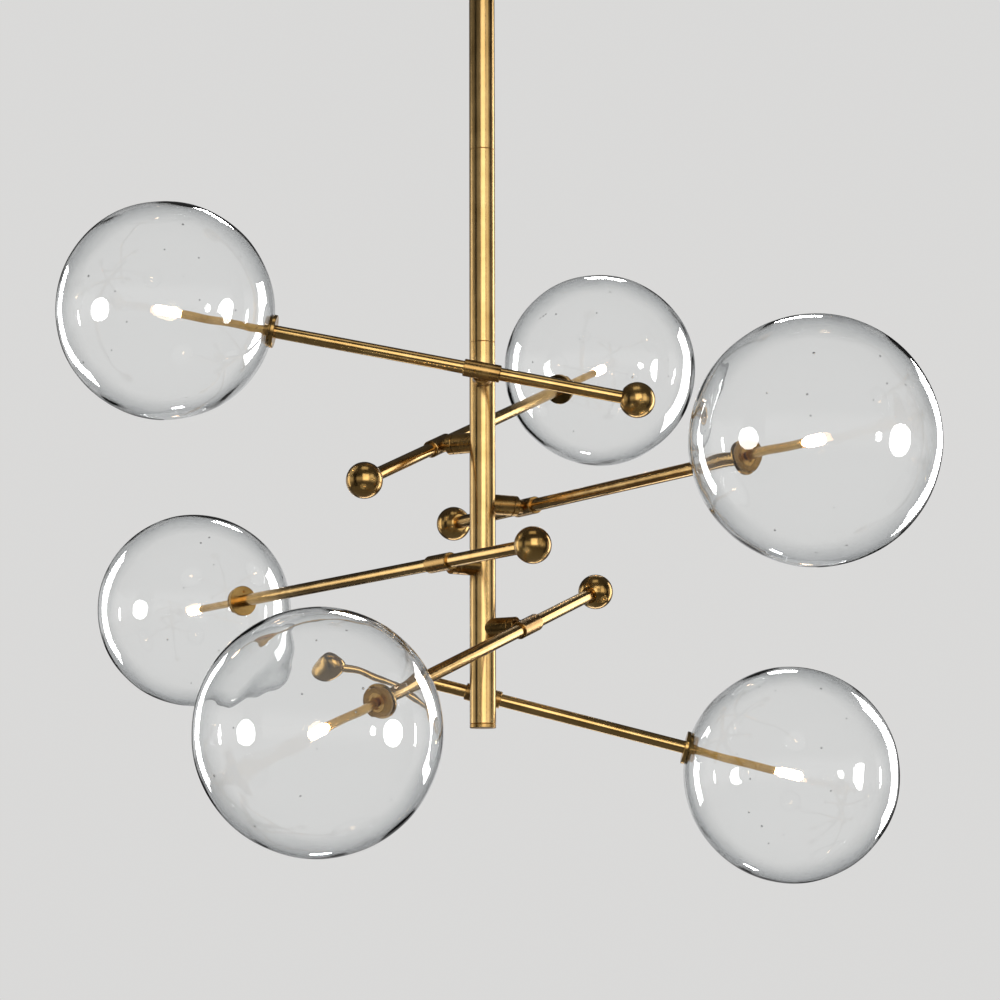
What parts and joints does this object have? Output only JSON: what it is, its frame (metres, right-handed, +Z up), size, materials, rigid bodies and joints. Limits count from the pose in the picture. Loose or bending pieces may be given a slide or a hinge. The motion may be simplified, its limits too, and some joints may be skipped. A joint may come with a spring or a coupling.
{
  "type": "globe chandelier",
  "caption": "Hanging chandelier: clear glass globes on tilting, counterweighted brass arms, staggered down a central brass column.",
  "frame": {"origin": "middle of the ceiling face, on the stem's axis", "axes": "+Z up along the stem; X runs along the ceiling bracket, through its two screw holes; the topmost arm's swivel points along -Y"},
  "size_m": [0.7886, 0.9333, 1.0658],
  "materials": {
    "brass_tube": "satin",
    "brass_rod": "satin",
    "brass_turned": "satin",
    "brass_ball": "satin",
    "brass_sheet": "satin",
    "brass_thread": "machined",
    "lamp_tube_brass": "satin",
    "bracket_steel": "zinc plated",
    "screw_steel": "plain",
    "clear_glass": "clear, blown",
    "bulb_glass": "frosted, lit"
  },
  "bodies": {
    "stem": {"ceiling_bracket": "bracket_steel", "canopy": "brass_sheet", "canopy_screws": "brass_turned", "stem_upper": "brass_tube", "stem_middle": "brass_tube", "stem_lower": "brass_tube", "stem_joiners": "brass_thread", "column": "brass_tube", "column_cap": "brass_turned", "bosses": "brass_turned", "pivot_screws": "screw_steel"},
    "arm_1": {"swivel_1": "brass_turned", "rod_1": "brass_rod", "counterweight_1": "brass_ball", "globe_1": "clear_glass", "flange_1": "brass_turned", "clamp_nut_1": "brass_turned", "lamp_tube_1": "lamp_tube_brass", "bulb_1": "bulb_glass"},
    "arm_2": {"swivel_2": "brass_turned", "rod_2": "brass_rod", "counterweight_2": "brass_ball", "globe_2": "clear_glass", "flange_2": "brass_turned", "clamp_nut_2": "brass_turned", "lamp_tube_2": "lamp_tube_brass", "bulb_2": "bulb_glass"},
    "arm_3": {"swivel_3": "brass_turned", "rod_3": "brass_rod", "counterweight_3": "brass_ball", "globe_3": "clear_glass", "flange_3": "brass_turned", "clamp_nut_3": "brass_turned", "lamp_tube_3": "lamp_tube_brass", "bulb_3": "bulb_glass"},
    "arm_4": {"swivel_4": "brass_turned", "rod_4": "brass_rod", "counterweight_4": "brass_ball", "globe_4": "clear_glass", "flange_4": "brass_turned", "clamp_nut_4": "brass_turned", "lamp_tube_4": "lamp_tube_brass", "bulb_4": "bulb_glass"},
    "arm_5": {"swivel_5": "brass_turned", "rod_5": "brass_rod", "counterweight_5": "brass_ball", "globe_5": "clear_glass", "flange_5": "brass_turned", "clamp_nut_5": "brass_turned", "lamp_tube_5": "lamp_tube_brass", "bulb_5": "bulb_glass"},
    "arm_6": {"swivel_6": "brass_turned", "rod_6": "brass_rod", "counterweight_6": "brass_ball", "globe_6": "clear_glass", "flange_6": "brass_turned", "clamp_nut_6": "brass_turned", "lamp_tube_6": "lamp_tube_brass", "bulb_6": "bulb_glass"}
  },
  "joints": [
    {"name": "arm_1_tilt", "type": "hinge", "parent": "stem", "child": "arm_1", "pos_m": [0, 0, -0.602], "axis": [0, 1, 0], "range_deg": [-27, 14]},
    {"name": "arm_2_tilt", "type": "hinge", "parent": "stem", "child": "arm_2", "pos_m": [0, 0, -0.66], "axis": [0.8829, -0.4695, 0], "range_deg": [-33.5, 4.5]},
    {"name": "arm_3_tilt", "type": "hinge", "parent": "stem", "child": "arm_3", "pos_m": [0, 0, -0.718], "axis": [-0.8746, -0.4848, 0], "range_deg": [-11.5, 25.5]},
    {"name": "arm_4_tilt", "type": "hinge", "parent": "stem", "child": "arm_4", "pos_m": [0, 0, -0.776], "axis": [0.8192, 0.5736, 0], "range_deg": [-24.5, 17.5]},
    {"name": "arm_5_tilt", "type": "hinge", "parent": "stem", "child": "arm_5", "pos_m": [0, 0, -0.834], "axis": [-0.8746, 0.4848, 0], "range_deg": [-7, 31]},
    {"name": "arm_6_tilt", "type": "hinge", "parent": "stem", "child": "arm_6", "pos_m": [0, 0, -0.892], "axis": [0, -1, 0], "range_deg": [-10.5, 29.5]}
  ]
}
